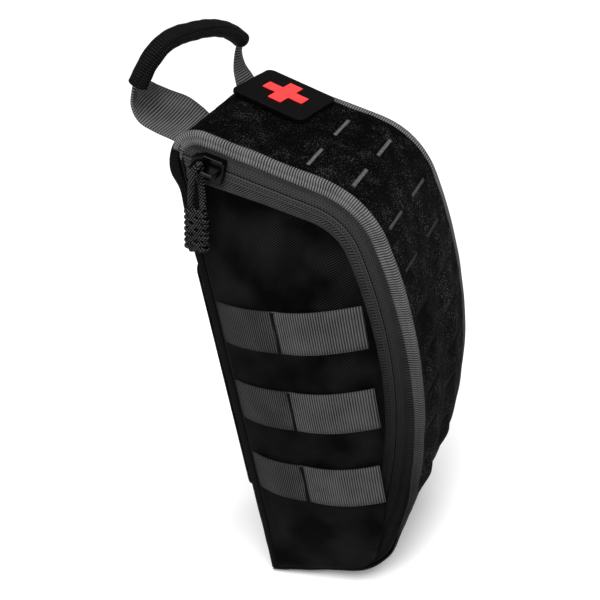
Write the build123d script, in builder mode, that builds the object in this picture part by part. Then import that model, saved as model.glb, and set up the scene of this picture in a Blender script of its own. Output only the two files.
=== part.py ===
from build123d import *
import math
import os

os.makedirs("parts", exist_ok=True)

# ---------------------------------------------------------------- driving dimensions (mm)
# The frame: X runs across the pouch (the door is the side at -X), +Y points out of its
# back, +Z is up. The origin is the centre of the back pad's outer face.
WIDTH = 90.8
HALF = WIDTH / 2
PAD_THICKNESS = 6.0
PAD_WIDTH = 84.0
PAD_LOW = 60.0
PAD_HIGH = 214.0
PAD_CORNER = 6.0
PAD_EDGE = 1.0
ORIGIN_HEIGHT = (PAD_LOW + PAD_HIGH) / 2

# Side profile, as (depth in front of the back plane, height above the lowest corner)
TOE = (75.4, 10.6)
TOE_RADIUS = 41.0
FRONT_LOW = (97.5, 58.4)
FRONT_MIDDLE = (114.5, 131.0)
SHOULDER_LOW = (108.4, 229.0)
SHOULDER_MIDDLE = (98.2, 249.7)
SHOULDER_HIGH = (80.0, 263.5)
CREST_HEIGHT = 299.3
CREST_RADIUS = 15.0
BACK_ROOM = 40.0
SLOPE = math.atan2(CREST_HEIGHT - SHOULDER_HIGH[1], SHOULDER_HIGH[0])
CREST_STRAIGHT = CREST_HEIGHT - CREST_RADIUS * (math.tan(SLOPE) + 1 / math.cos(SLOPE))

# Wall layers
FACE = 1.6
FOAM = 3.0
LINING = 0.8
SPINE = FACE + FOAM + LINING
BACK_FABRIC = 1.2
STIFFENER = 2.0
BACK = BACK_FABRIC + STIFFENER + LINING
SIDE_WALL = 2.4

# Loop-faced spine: two slots in each row
SLOT_LENGTH = 22.0
SLOT_WIDTH = 3.0
SLOT_PITCH = 24.4
SLOT_CUT_FROM = 2.0
SLOT_CUT_TO = 0.2
SLOT_COLUMNS = (-25.5, 14.5)
SLOPE_ROWS = [27.0 + SLOT_PITCH * row for row in range(3)]
FRONT_ROW_HEIGHTS = [232.0 - SLOT_PITCH * row for row in range(8)]

# Edge bindings
BINDING = 1.0
BINDING_ON_SPINE = 8.0
BINDING_ON_SIDE = 7.0
BACK_BINDING = 1.2
BACK_BINDING_ON_SIDE = 3.2
BACK_BINDING_ON_BACK = 3.0
BACK_BINDING_SHORT = 1.0
TAB_ARC = 41.5
TAB_LENGTH = 9.0
TAB_REACH = 4.0
TAB_BELOW = 1.0
TAB_ROUND = 1.2

# Zip: two tapes with a ridge of coil along each
TAPE = 1.2
CHAIN_INSET = 15.0
CHAIN_GAP = 0.4
TAPE_END = 23.5
RIDGE_WIDTH = 3.0
RIDGE = 0.9
DOOR_EDGE_DEPTH = 4.6

# Door: a slack, outward-bulging panel
DOOR_INSET = TAPE_END + 0.3
PANEL_FABRIC = 0.6
CROWN = 10.0
CROWN_FROM = 4.6
CROWN_TO = 92.0
CROWN_TOP_Z = 185.0
CROWN_TOP_RADIUS = 150.0
CROWN_BOTTOM_Z = 62.0
CROWN_BOTTOM_RADIUS = 120.0
CROWN_TAPER = 35.0
CROWN_END_TURN = 25.0
LINING_SETBACK = 2.5

# Carrying webbing sewn across the door and the far side
WEBBING_WIDTH = 25.4
WEBBING = 1.6
ROW_CENTRES = (181.0, 130.2, 79.4)
ROW_ENDS = (90.0, 89.0, 85.0)
ROW_START = 5.2

# Slider and pull
SLIDER_DEPTH = 21.0
SLIDER_LENGTH = 18.0
SLIDER_WIDTH = 13.0
SLIDER_CLEARANCE = 0.4
SLIDER_PLATE = 4.4
SLIDER_CORNER = 2.0
SLIDER_EDGE = 0.6
BAR_RADIUS = 1.2
BAR_LIFT = 5.4
BAR_BEND = 2.0
BAR_FROM_END = 2.2
CORD_RADIUS = 1.8
LOOP_HALF = 3.3
LOOP_LEG = 4.0
LOOP_UPHILL = 2.6
KNOT_WIDTH = 13.6
KNOT_THICKNESS = 7.0
KNOT_LENGTH = 26.0
KNOT_LEAN = 14.0
KNOT_CORNER = 2.6
KNOT_END = 2.0
STRAND_HALF = 3.4
STRAND_RISE = 5.5
KNOT_TOP = 254.6
KNOT_DEPTH = 13.4
KNOT_CENTRE_OUT = 11.8

# Handle
GRIP_RADIUS = 4.6
CORE_RADIUS = 2.8
HANDLE_STRAP = 1.8

# Patch on the top slope
PATCH = 44.0
PATCH_NARROWER = 2.0
PATCH_CORNER = 4.0
PATCH_THICKNESS = 1.6
PATCH_X = 21.5
PATCH_LIFT = BINDING + 0.35
PATCH_ARC = 38.5
PATCH_TURN = -7.5
CROSS = 25.0
CROSS_ARM = 8.0
CROSS_THICKNESS = 0.5
CROSS_OFF_CENTRE = 1.5

DOOR_X = -HALF
BIG = 400.0


# ---------------------------------------------------------------- places and shared shapes
def side(depth, height):
    """A point of the side profile, on the YZ plane."""
    return (-(PAD_THICKNESS + depth), height - ORIGIN_HEIGHT)


def space(x, depth, height):
    """A point in the part's frame, from its depth and height."""
    return (x, -(PAD_THICKNESS + depth), height - ORIGIN_HEIGHT)


def slope_plane(x, arc, lift=0.0, turn=0.0):
    """A plane lying on the top slope: its x is across the pouch and its y runs uphill.

    turn spins it about its own normal, in degrees.
    """
    depth = arc * math.cos(SLOPE) + lift * math.sin(SLOPE)
    height = CREST_HEIGHT - arc * math.sin(SLOPE) + lift * math.cos(SLOPE)
    normal = (0, -math.sin(SLOPE), math.cos(SLOPE))
    spin = math.radians(turn)
    x_dir = (math.cos(spin), math.sin(spin) * math.cos(SLOPE), math.sin(spin) * math.sin(SLOPE))
    return Plane(origin=space(x, depth, height), x_dir=x_dir, z_dir=normal)


def outline(inset=0.0, mode=Mode.ADD):
    """The half-teardrop side profile in the open sketch, its top and front moved in by inset.

    Its back stays on the back plane for the spine's layers, and runs past it for deeper ones.
    """
    past = BACK_ROOM if inset > SPINE else 0.0
    low = side(-past, -past * TOE[1] / TOE[0])
    high = side(-past, CREST_HEIGHT + past * math.tan(SLOPE))
    with BuildSketch(mode=Mode.PRIVATE) as profile:
        with BuildLine():
            Line(low, side(*TOE))
            Line(side(*TOE), side(*FRONT_LOW))
            ThreePointArc(side(*FRONT_LOW), side(*FRONT_MIDDLE), side(*SHOULDER_LOW))
            ThreePointArc(side(*SHOULDER_LOW), side(*SHOULDER_MIDDLE), side(*SHOULDER_HIGH))
            Line(side(*SHOULDER_HIGH), high)
            Line(high, low)
        make_face()
        toe = profile.vertices().sort_by_distance((*side(*TOE), 0))[0]
        fillet(toe, TOE_RADIUS)
        if not past:
            crest = profile.vertices().sort_by_distance((*side(0, CREST_HEIGHT), 0))[0]
            fillet(crest, CREST_RADIUS)
        if inset:
            offset(amount=-inset)
        if inset > 0 and not past:
            bottom = inset * (1 + TOE[1] / TOE[0]) + 0.1
            with Locations(side(inset / 2, (bottom + CREST_STRAIGHT) / 2)):
                Rectangle(inset + 0.2, CREST_STRAIGHT - bottom)
    add(profile.sketch, mode=mode)


def keep_depth(low, high):
    """Keep only the stretch of the open sketch between two depths."""
    middle = side((low + high) / 2, CREST_HEIGHT / 2)
    with Locations(middle):
        Rectangle(high - low, 2 * CREST_HEIGHT, mode=Mode.INTERSECT)


def ring(plane, outer, inner, thickness, low=BACK, high=BIG):
    """A strip of the profile between two insets, raised by thickness, in the open part."""
    with BuildSketch(plane) as strip:
        outline(outer)
        outline(inner, mode=Mode.SUBTRACT)
        keep_depth(low, high)
    extrude(strip.sketch, amount=thickness)


def finish(part, label):
    part.label = label
    export_step(part, f"parts/{label}.step")


across = Plane.YZ

# ---------------------------------------------------------------- back of the shell
with BuildPart() as back_panel:
    with BuildSketch(across.offset(-HALF)):
        outline()
        keep_depth(0, BACK_FABRIC)
    extrude(amount=WIDTH)
finish(back_panel.part, "back_panel")

with BuildPart() as back_stiffener:
    with BuildSketch(across.offset(-HALF)):
        outline()
        keep_depth(BACK_FABRIC, BACK_FABRIC + STIFFENER)
    extrude(amount=WIDTH)
finish(back_stiffener.part, "back_stiffener")

with BuildPart() as back_lining:
    with BuildSketch(across.offset(-HALF)):
        outline(SPINE)
        keep_depth(BACK - LINING, BACK)
    extrude(amount=WIDTH - SIDE_WALL)
finish(back_lining.part, "back_lining")

with BuildPart() as hook_pad:
    with BuildSketch(Plane.XZ):
        RectangleRounded(PAD_WIDTH, PAD_HIGH - PAD_LOW, PAD_CORNER)
    extrude(amount=PAD_THICKNESS)
    fillet(hook_pad.faces().sort_by(Axis.Y)[-1].edges(), PAD_EDGE)
finish(hook_pad.part, "hook_pad")


# ---------------------------------------------------------------- spine: top, front and toe
def spine_layer(outer, inner):
    ring(across.offset(-HALF), outer, inner, WIDTH, low=BACK - LINING)


with BuildPart() as spine_face:
    spine_layer(0, FACE)
    for column in SLOT_COLUMNS:
        for arc in SLOPE_ROWS:
            with BuildSketch(slope_plane(column, arc, SLOT_CUT_FROM)):
                SlotOverall(SLOT_LENGTH, SLOT_WIDTH)
            extrude(amount=-SLOT_CUT_FROM - FACE - SLOT_CUT_TO, mode=Mode.SUBTRACT)
        for height in FRONT_ROW_HEIGHTS:
            with BuildSketch(Plane.XZ.offset(PAD_THICKNESS + FRONT_MIDDLE[0] / 2)):
                with Locations((column, height - ORIGIN_HEIGHT)):
                    SlotOverall(SLOT_LENGTH, SLOT_WIDTH)
            extrude(amount=FRONT_MIDDLE[0], mode=Mode.SUBTRACT)
finish(spine_face.part, "spine_face")

with BuildPart() as spine_foam:
    spine_layer(FACE, FACE + FOAM)
finish(spine_foam.part, "spine_foam")

with BuildPart() as spine_lining:
    spine_layer(FACE + FOAM, SPINE)
finish(spine_lining.part, "spine_lining")

# ---------------------------------------------------------------- far side
with BuildPart() as far_side_panel:
    with BuildSketch(across.offset(HALF - SIDE_WALL)):
        outline(SPINE)
        keep_depth(BACK - LINING, BIG)
    extrude(amount=SIDE_WALL)
finish(far_side_panel.part, "far_side_panel")

for number, (centre, end) in enumerate(zip(ROW_CENTRES, ROW_ENDS), start=1):
    with BuildPart() as far_webbing:
        with BuildSketch(across.offset(HALF)):
            with Locations(side((ROW_START + end) / 2, centre)):
                Rectangle(end - ROW_START, WEBBING_WIDTH)
        extrude(amount=WEBBING)
    finish(far_webbing.part, f"far_webbing_{number}")


# ---------------------------------------------------------------- bindings
def edge_binding(ridge_x, outward, skin_on_side):
    """An L of ribbed tape folded over one edge of the spine."""
    sign = 1 if outward > 0 else -1
    start = ridge_x - sign * BINDING_ON_SPINE
    over_spine = sign * (BINDING_ON_SPINE + skin_on_side + BINDING)
    ring(across.offset(start), -BINDING, 0, over_spine, low=0)
    ring(across.offset(ridge_x + sign * skin_on_side), 0, BINDING_ON_SIDE, sign * BINDING, low=BACK)


with BuildPart() as edge_binding_near:
    edge_binding(-HALF, -1, TAPE)
finish(edge_binding_near.part, "edge_binding_near")

with BuildPart() as edge_binding_far:
    edge_binding(HALF, 1, 0.0)
finish(edge_binding_far.part, "edge_binding_far")


def back_binding(sign):
    """A plain black tape folded round one upright edge of the back."""
    low = side(0, BACK_BINDING_SHORT)[1]
    high = side(0, CREST_STRAIGHT - BACK_BINDING_SHORT)[1]
    corner_x = sign * (HALF + BACK_BINDING / 2)
    with BuildSketch(Plane.XY.offset(low)) as section:
        with Locations((corner_x, -PAD_THICKNESS - (BACK_BINDING_ON_SIDE - BACK_BINDING) / 2)):
            Rectangle(BACK_BINDING, BACK_BINDING_ON_SIDE + BACK_BINDING)
        middle_x = sign * (HALF - BACK_BINDING_ON_BACK / 2)
        with Locations((middle_x, -PAD_THICKNESS + BACK_BINDING / 2)):
            Rectangle(BACK_BINDING_ON_BACK, BACK_BINDING)
    extrude(section.sketch, amount=high - low)


with BuildPart() as back_binding_near:
    back_binding(-1)
finish(back_binding_near.part, "back_binding_near")

with BuildPart() as back_binding_far:
    back_binding(1)
finish(back_binding_far.part, "back_binding_far")

with BuildPart() as side_tab:
    with BuildSketch(slope_plane(HALF + BINDING + TAB_REACH / 2, TAB_ARC, -BINDING_ON_SIDE)):
        Rectangle(TAB_REACH, TAB_LENGTH)
    extrude(amount=BINDING_ON_SIDE - TAB_BELOW)
    fillet(side_tab.faces().sort_by(Axis.X)[-1].edges(), TAB_ROUND)
finish(side_tab.part, "side_tab")


# ---------------------------------------------------------------- zip
def tape_half(outer, inner, ridge_outer, ridge_inner, low):
    ring(across.offset(DOOR_X), outer, inner, -TAPE, low=low)
    ring(across.offset(DOOR_X - TAPE), ridge_outer, ridge_inner, -RIDGE, low=low)


near_side = CHAIN_INSET - CHAIN_GAP / 2
far_side = CHAIN_INSET + CHAIN_GAP / 2
with BuildPart() as zip_tape_shell:
    tape_half(0, near_side, near_side - RIDGE_WIDTH, near_side, BACK)
finish(zip_tape_shell.part, "zip_tape_shell")

with BuildPart() as zip_tape_door:
    tape_half(far_side, TAPE_END, far_side, far_side + RIDGE_WIDTH, DOOR_EDGE_DEPTH)
finish(zip_tape_door.part, "zip_tape_door")

# ---------------------------------------------------------------- door
crown_middle = (CROWN_FROM + CROWN_TO) / 2
crown_radius = ((CROWN_TO - crown_middle) ** 2 + CROWN**2) / (2 * CROWN)
crown_axis_x = DOOR_X - CROWN + crown_radius


def crown_cylinder(radius, mode):
    """The upright cylinder whose surface the door's middle follows."""
    axis_y = space(0, crown_middle, 0)[1]
    with BuildSketch(Plane.XY.offset(-BIG / 2)) as section:
        with Locations((crown_axis_x, axis_y)):
            Circle(radius)
    extrude(section.sketch, amount=BIG, mode=mode)


def crown_ends():
    """Bring the bulge down to the side plane above and below the webbing."""
    top = CROWN_TOP_Z - ORIGIN_HEIGHT
    bottom = CROWN_BOTTOM_Z - ORIGIN_HEIGHT
    outer = DOOR_X - CROWN
    turn = math.radians(CROWN_END_TURN)
    top_end = (outer + CROWN_TOP_RADIUS * (1 - math.cos(turn)), top + CROWN_TOP_RADIUS * math.sin(turn))
    bottom_drop = CROWN_BOTTOM_RADIUS * (1 - math.cos(turn))
    bottom_end = (outer + bottom_drop, bottom - CROWN_BOTTOM_RADIUS * math.sin(turn))
    high = (HALF, CREST_HEIGHT)
    low = (HALF, -CREST_HEIGHT)
    with BuildSketch(Plane.XZ.offset(-BIG / 2)) as section:
        with BuildLine():
            Line((outer, bottom), (outer, top))
            RadiusArc((outer, top), top_end, CROWN_TOP_RADIUS)
            Line(top_end, high)
            Line(high, low)
            Line(low, bottom_end)
            RadiusArc(bottom_end, (outer, bottom), CROWN_BOTTOM_RADIUS)
        make_face()
    extrude(section.sketch, amount=BIG, mode=Mode.INTERSECT)


with BuildPart() as door_panel:
    with BuildSketch(across.offset(DOOR_X)):
        outline(DOOR_INSET)
        keep_depth(CROWN_FROM, BIG)
    extrude(amount=-CROWN - 1.0, taper=CROWN_TAPER)
    crown_cylinder(crown_radius, Mode.INTERSECT)
    crown_ends()
    with BuildSketch(across.offset(DOOR_X)):
        outline(DOOR_INSET)
        keep_depth(CROWN_FROM, BIG)
    extrude(amount=-PANEL_FABRIC)
finish(door_panel.part, "door_panel")

with BuildPart() as door_lining:
    with BuildSketch(across.offset(DOOR_X)):
        outline(far_side + LINING_SETBACK)
        keep_depth(DOOR_EDGE_DEPTH + LINING_SETBACK, BIG)
    extrude(amount=LINING)
finish(door_lining.part, "door_lining")

for number, (centre, end) in enumerate(zip(ROW_CENTRES, ROW_ENDS), start=1):
    with BuildPart() as door_webbing:
        with BuildSketch(across.offset(DOOR_X - PANEL_FABRIC)):
            with Locations(side((ROW_START + end) / 2, centre)):
                Rectangle(end - ROW_START, WEBBING_WIDTH)
        extrude(amount=-CROWN - 2 * WEBBING)
        crown_cylinder(crown_radius + WEBBING, Mode.INTERSECT)
        crown_cylinder(crown_radius, Mode.SUBTRACT)
    finish(door_webbing.part, f"door_webbing_{number}")

# ---------------------------------------------------------------- slider and pull
ridge_x = DOOR_X - TAPE - RIDGE
plate_low_x = ridge_x - SLIDER_CLEARANCE
plate_high_x = plate_low_x - SLIDER_PLATE
bar_x = plate_high_x - BAR_LIFT
chain_drop = CHAIN_INSET / math.cos(SLOPE)
slider_height = CREST_HEIGHT - SLIDER_DEPTH * math.tan(SLOPE) - chain_drop


def slider_plane(x):
    """A plane facing out of the door side, its x running uphill along the zip."""
    uphill = (0, math.cos(SLOPE), math.sin(SLOPE))
    return Plane(origin=space(x, SLIDER_DEPTH, slider_height), x_dir=uphill, z_dir=(-1, 0, 0))


with BuildPart() as slider_body:
    with BuildSketch(slider_plane(plate_low_x)):
        with BuildLine():
            Polyline(
                (-SLIDER_LENGTH / 2, -SLIDER_WIDTH / 2),
                (SLIDER_LENGTH / 6, -SLIDER_WIDTH / 2),
                (SLIDER_LENGTH / 2, -SLIDER_WIDTH / 3.4),
                (SLIDER_LENGTH / 2, SLIDER_WIDTH / 3.4),
                (SLIDER_LENGTH / 6, SLIDER_WIDTH / 2),
                (-SLIDER_LENGTH / 2, SLIDER_WIDTH / 2),
                close=True,
            )
        make_face()
        fillet(vertices(), SLIDER_CORNER)
    extrude(amount=SLIDER_PLATE)
    fillet(slider_body.faces().sort_by(Axis.X)[0].edges(), SLIDER_EDGE)
finish(slider_body.part, "slider_body")

bar_half = SLIDER_LENGTH / 2 - BAR_FROM_END
with BuildPart() as slider_bridge:
    with BuildLine(slider_plane(plate_high_x)) as arch:
        FilletPolyline(
            (-bar_half, 0, 0),
            (-bar_half, 0, BAR_LIFT),
            (bar_half, 0, BAR_LIFT),
            (bar_half, 0, 0),
            radius=BAR_BEND,
        )
    with BuildSketch(Plane(origin=arch.line @ 0, z_dir=arch.line % 0)):
        Circle(BAR_RADIUS)
    sweep()
finish(slider_bridge.part, "slider_bridge")

# The loop of cord over the bridge lies square to its bar, and its two strands run down
# into the knot's top face.
knot_x = DOOR_X - KNOT_CENTRE_OUT
loop_depth = SLIDER_DEPTH - LOOP_UPHILL * math.cos(SLOPE)
loop_height = slider_height + LOOP_UPHILL * math.sin(SLOPE)


def around_bar(across_bar, rise, downhill):
    """A point near the bar: outwards from it, square to the slope, and along it."""
    depth = loop_depth + rise * math.sin(SLOPE) + downhill * math.cos(SLOPE)
    height = loop_height + rise * math.cos(SLOPE) - downhill * math.sin(SLOPE)
    return space(bar_x + across_bar, depth, height)


def on_knot(forward, rise):
    """A point measured from the middle of the knot's top face, square to and along the knot."""
    lean = math.radians(KNOT_LEAN)
    depth = KNOT_DEPTH + forward * math.cos(lean) + rise * math.sin(lean)
    height = KNOT_TOP - forward * math.sin(lean) + rise * math.cos(lean)
    return space(knot_x, depth, height)


PULL_ROUTE = [
    on_knot(-STRAND_HALF, 0),
    on_knot(-STRAND_HALF, STRAND_RISE),
    around_bar(-LOOP_HALF, -LOOP_LEG, -0.6),
    around_bar(-LOOP_HALF, LOOP_HALF, -0.4),
    around_bar(LOOP_HALF, LOOP_HALF, 0.4),
    around_bar(LOOP_HALF, -LOOP_LEG, 0.6),
    on_knot(STRAND_HALF, STRAND_RISE),
    on_knot(STRAND_HALF, 0),
]


def bend_radii(points):
    """One radius for each corner of a route: 0.45 of its shorter run over tan(half turn)."""
    radii = []
    for before, here, after in zip(points, points[1:], points[2:]):
        run_in = Vector(*here) - Vector(*before)
        run_out = Vector(*after) - Vector(*here)
        half_turn = math.radians(run_in.get_angle(run_out)) / 2
        radii.append(0.45 * min(run_in.length, run_out.length) / math.tan(half_turn))
    return radii


def tube(route, radius):
    """A round cord or bar along a route, in the open part."""
    with BuildLine() as path:
        FilletPolyline(*route, radius=bend_radii(route))
    with BuildSketch(Plane(origin=path.line @ 0, z_dir=path.line % 0)) as section:
        Circle(radius)
    sweep(section.sketch, path=path.line)


with BuildPart() as pull_cord:
    tube(PULL_ROUTE, CORD_RADIUS)
finish(pull_cord.part, "pull_cord")

with BuildPart() as cord_knot:
    along_knot = Vector(*on_knot(0, 1)) - Vector(*on_knot(0, 0))
    with BuildSketch(Plane(origin=on_knot(0, 0), x_dir=(1, 0, 0), z_dir=along_knot)):
        RectangleRounded(KNOT_THICKNESS, KNOT_WIDTH, KNOT_CORNER)
    extrude(amount=-KNOT_LENGTH)
    fillet(cord_knot.faces().sort_by(Axis.Z)[0].edges(), KNOT_END)
finish(cord_knot.part, "cord_knot")

# ---------------------------------------------------------------- handle
GRIP_ROUTE = [
    space(-38.5, -15.0, 315.0),
    space(-35.0, -2.5, 333.0),
    space(-3.0, 3.2, 331.6),
    space(29.0, 6.4, 323.4),
    space(42.0, 6.3, 312.5),
]
# Strap sections as (x, depth, height) of the two edges, and the thickness there
NEAR_STRAP = [
    ((-41.0, 0.4, 285.8), (-5.0, 0.4, 285.8), HANDLE_STRAP),
    ((-43.0, -7.0, 291.0), (-7.0, -4.0, 296.0), HANDLE_STRAP),
    ((-43.5, -16.6, 297.5), (-13.0, -12.6, 303.6), HANDLE_STRAP),
    ((-43.0, -18.6, 304.6), (-22.0, -16.0, 309.6), 3.0),
    ((-42.6, -16.4, 313.0), (-33.0, -14.0, 315.4), 7.0),
]
FAR_STRAP = [
    ((20.0, 0.4, 285.8), (44.0, 0.4, 285.8), HANDLE_STRAP),
    ((27.0, -0.4, 295.0), (46.6, -0.4, 293.0), HANDLE_STRAP),
    ((35.0, 2.4, 305.0), (46.4, 2.0, 303.4), 3.0),
    ((37.4, 5.8, 313.4), (46.2, 5.6, 311.4), 7.0),
]


def strap(sections):
    """Webbing lofted through rectangles set across its run, in the open part."""
    middles = []
    for first, second, _ in sections:
        middles.append((Vector(*space(*first)) + Vector(*space(*second))) / 2)
    last = len(sections) - 1
    outlines = []
    for index, (first, second, thickness) in enumerate(sections):
        run = middles[min(index + 1, last)] - middles[max(index - 1, 0)]
        width = Vector(*space(*second)) - Vector(*space(*first))
        normal = run - width * (run.dot(width) / width.dot(width))
        with BuildSketch(Plane(origin=middles[index], x_dir=width, z_dir=normal)) as section:
            Rectangle(width.length, thickness)
        outlines.append(section.sketch.face())
    loft(outlines)


with BuildPart() as grip_core:
    tube(GRIP_ROUTE, CORE_RADIUS)
finish(grip_core.part, "grip_core")

with BuildPart() as grip_sleeve:
    tube(GRIP_ROUTE, GRIP_RADIUS)
    add(grip_core.part, mode=Mode.SUBTRACT)
finish(grip_sleeve.part, "grip_sleeve")


def clear_of_grip():
    """Cut the sleeve and its core out of the strap that ends on them."""
    add(grip_sleeve.part, mode=Mode.SUBTRACT)
    add(grip_core.part, mode=Mode.SUBTRACT)


with BuildPart() as handle_strap_near:
    strap(NEAR_STRAP)
    clear_of_grip()
finish(handle_strap_near.part, "handle_strap_near")

with BuildPart() as handle_strap_far:
    strap(FAR_STRAP)
    clear_of_grip()
finish(handle_strap_far.part, "handle_strap_far")

# ---------------------------------------------------------------- patch
with BuildPart() as patch_base:
    with BuildSketch(slope_plane(PATCH_X, PATCH_ARC, PATCH_LIFT, PATCH_TURN)):
        RectangleRounded(PATCH - PATCH_NARROWER, PATCH, PATCH_CORNER)
    extrude(amount=PATCH_THICKNESS)
finish(patch_base.part, "patch_base")

with BuildPart() as patch_cross:
    cross_lift = PATCH_LIFT + PATCH_THICKNESS
    with BuildSketch(slope_plane(PATCH_X + CROSS_OFF_CENTRE, PATCH_ARC, cross_lift, PATCH_TURN)):
        Rectangle(CROSS, CROSS_ARM)
        Rectangle(CROSS_ARM, CROSS)
    extrude(amount=CROSS_THICKNESS)
finish(patch_cross.part, "patch_cross")
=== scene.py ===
import math

import bpy
from mathutils import Matrix, Vector, noise


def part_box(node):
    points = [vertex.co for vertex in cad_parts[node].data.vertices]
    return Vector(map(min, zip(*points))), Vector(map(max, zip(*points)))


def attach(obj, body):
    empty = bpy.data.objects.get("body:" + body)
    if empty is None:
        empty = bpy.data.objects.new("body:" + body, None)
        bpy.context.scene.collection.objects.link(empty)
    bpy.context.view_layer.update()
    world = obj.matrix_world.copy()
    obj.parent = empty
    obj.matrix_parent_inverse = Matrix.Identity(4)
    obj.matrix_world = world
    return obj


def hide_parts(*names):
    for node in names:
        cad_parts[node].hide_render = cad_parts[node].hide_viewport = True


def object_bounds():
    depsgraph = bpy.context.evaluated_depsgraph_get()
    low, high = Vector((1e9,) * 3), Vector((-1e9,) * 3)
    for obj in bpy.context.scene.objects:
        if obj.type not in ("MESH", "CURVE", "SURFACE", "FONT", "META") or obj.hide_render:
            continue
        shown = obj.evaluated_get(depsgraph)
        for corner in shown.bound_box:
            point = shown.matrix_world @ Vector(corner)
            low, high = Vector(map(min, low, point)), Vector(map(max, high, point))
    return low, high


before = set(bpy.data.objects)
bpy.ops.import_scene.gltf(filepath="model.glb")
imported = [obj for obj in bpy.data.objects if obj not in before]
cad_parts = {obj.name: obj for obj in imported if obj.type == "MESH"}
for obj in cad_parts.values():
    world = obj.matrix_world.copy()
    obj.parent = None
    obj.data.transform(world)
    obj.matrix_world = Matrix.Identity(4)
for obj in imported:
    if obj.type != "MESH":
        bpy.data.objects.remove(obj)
cad_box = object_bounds()

MM = 0.001

# ------------------------ places from the frame
pad_low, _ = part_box("hook_pad")
panel_low, panel_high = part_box("back_panel")
PAD_THICKNESS = -pad_low[1] / MM
GROUND = panel_low[2] / MM
HALF = panel_high[0] / MM
DOOR_X = -HALF

# Side profile: (depth in front of the back, height above the lowest corner), mm
TOE = (75.4, 10.6)
TOE_RADIUS = 41.0
FRONT_LOW = (97.5, 58.4)
FRONT_MIDDLE = (114.5, 131.0)
SHOULDER_LOW = (108.4, 229.0)
SHOULDER_MIDDLE = (98.2, 249.7)
SHOULDER_HIGH = (80.0, 263.5)
CREST_HEIGHT = 299.3
CREST_RADIUS = 15.0
CREST_CENTRE = CREST_HEIGHT - 1.543 * CREST_RADIUS
SLOPE = math.atan2(CREST_HEIGHT - SHOULDER_HIGH[1], SHOULDER_HIGH[0])

CHAIN_INSET = 15.0
TAPE_END = 23.5
TAPE_COVER = 2.6
TAPE_STEPS = 420
NEAR_ON_SPINE = 0.5
FAR_ON_SPINE = 4.5
FLANGE = 7.0
BINDING_STEPS = 430
BINDING_SLACK = 0.7
FLANGE_STOPS = ((40.0, 0.08), (62.0, 0.4), (90.0, 0.6), (130.0, 0.72), (200.0, 0.95), (230.0, 1.0))
SPINE_STEPS = 431
SPINE_LINES = 53
CLOSED_ROWS = 2
BULGE = 3.4
BULGE_FROM_DEPTH = 60.0
BULGE_BOTTOM = 40.0
BULGE_TOP = 236.0
BULGE_GROWTH = 70.0
SLOT_PITCH = 24.4
SLOT_LENGTH = 22.0
SLOT_WIDTH = 3.0
SLOT_COLUMNS = (-25.5, 14.5)
SHOULDER_ROW = (91.5, 256.6)
SLOPE_ROWS = [27.0 + SLOT_PITCH * row for row in range(3)]
FRONT_ROWS = [232.0 - SLOT_PITCH * row for row in range(8)]
ROW_CENTRES = (181.0, 130.2, 79.4)
ROW_ENDS = (90.0, 89.0, 85.0)
ROW_START = 5.2
ROW_WIDTH = 25.4
TACK_AT = 0.44
ROW_LIFT = 0.75
ROW_BOW = 1.25
ROW_CURL = 0.25
ROW_WANDER = 0.25
ROW_THICKNESS = 1.1

CROWN = 10.0
CROWN_FROM = 4.6
CROWN_TO = 92.0
CROWN_TOP_Z = 185.0
CROWN_TOP_RADIUS = 150.0
CROWN_BOTTOM_Z = 62.0
CROWN_BOTTOM_RADIUS = 120.0
CROWN_MIDDLE = (CROWN_FROM + CROWN_TO) / 2
CROWN_RADIUS = ((CROWN_TO - CROWN_MIDDLE) ** 2 + CROWN**2) / (2 * CROWN)


def place(x, depth, height):
    """A point of the part's frame in metres, from millimetres."""
    return Vector((x, -(PAD_THICKNESS + depth), height + GROUND)) * MM


def link(name, data):
    """A new object in the scene."""
    obj = bpy.data.objects.new(name, data)
    bpy.context.scene.collection.objects.link(obj)
    return obj


# ------------------------ camera
CAMERA_FROM = Vector((-486.7, -284.6, 311.9)) * MM
CAMERA_RIGHT = Vector((0.36359, -0.91499, -0.17492))
CAMERA_UP = Vector((0.48771, 0.02699, 0.87259))
CAMERA_BACK = CAMERA_RIGHT.cross(CAMERA_UP)
CAMERA_LENS = 63.2


def make_camera():
    data = bpy.data.cameras.new("camera")
    data.sensor_width = 36.0
    data.lens = CAMERA_LENS
    data.clip_start = 0.01
    camera = link("camera", data)
    turn = Matrix((CAMERA_RIGHT, CAMERA_UP, CAMERA_BACK)).transposed().to_4x4()
    camera.matrix_world = Matrix.Translation(CAMERA_FROM) @ turn
    bpy.context.scene.camera = camera


make_camera()


# ------------------------ shader helpers
CLOTH_SPECULAR = 0.05


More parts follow.
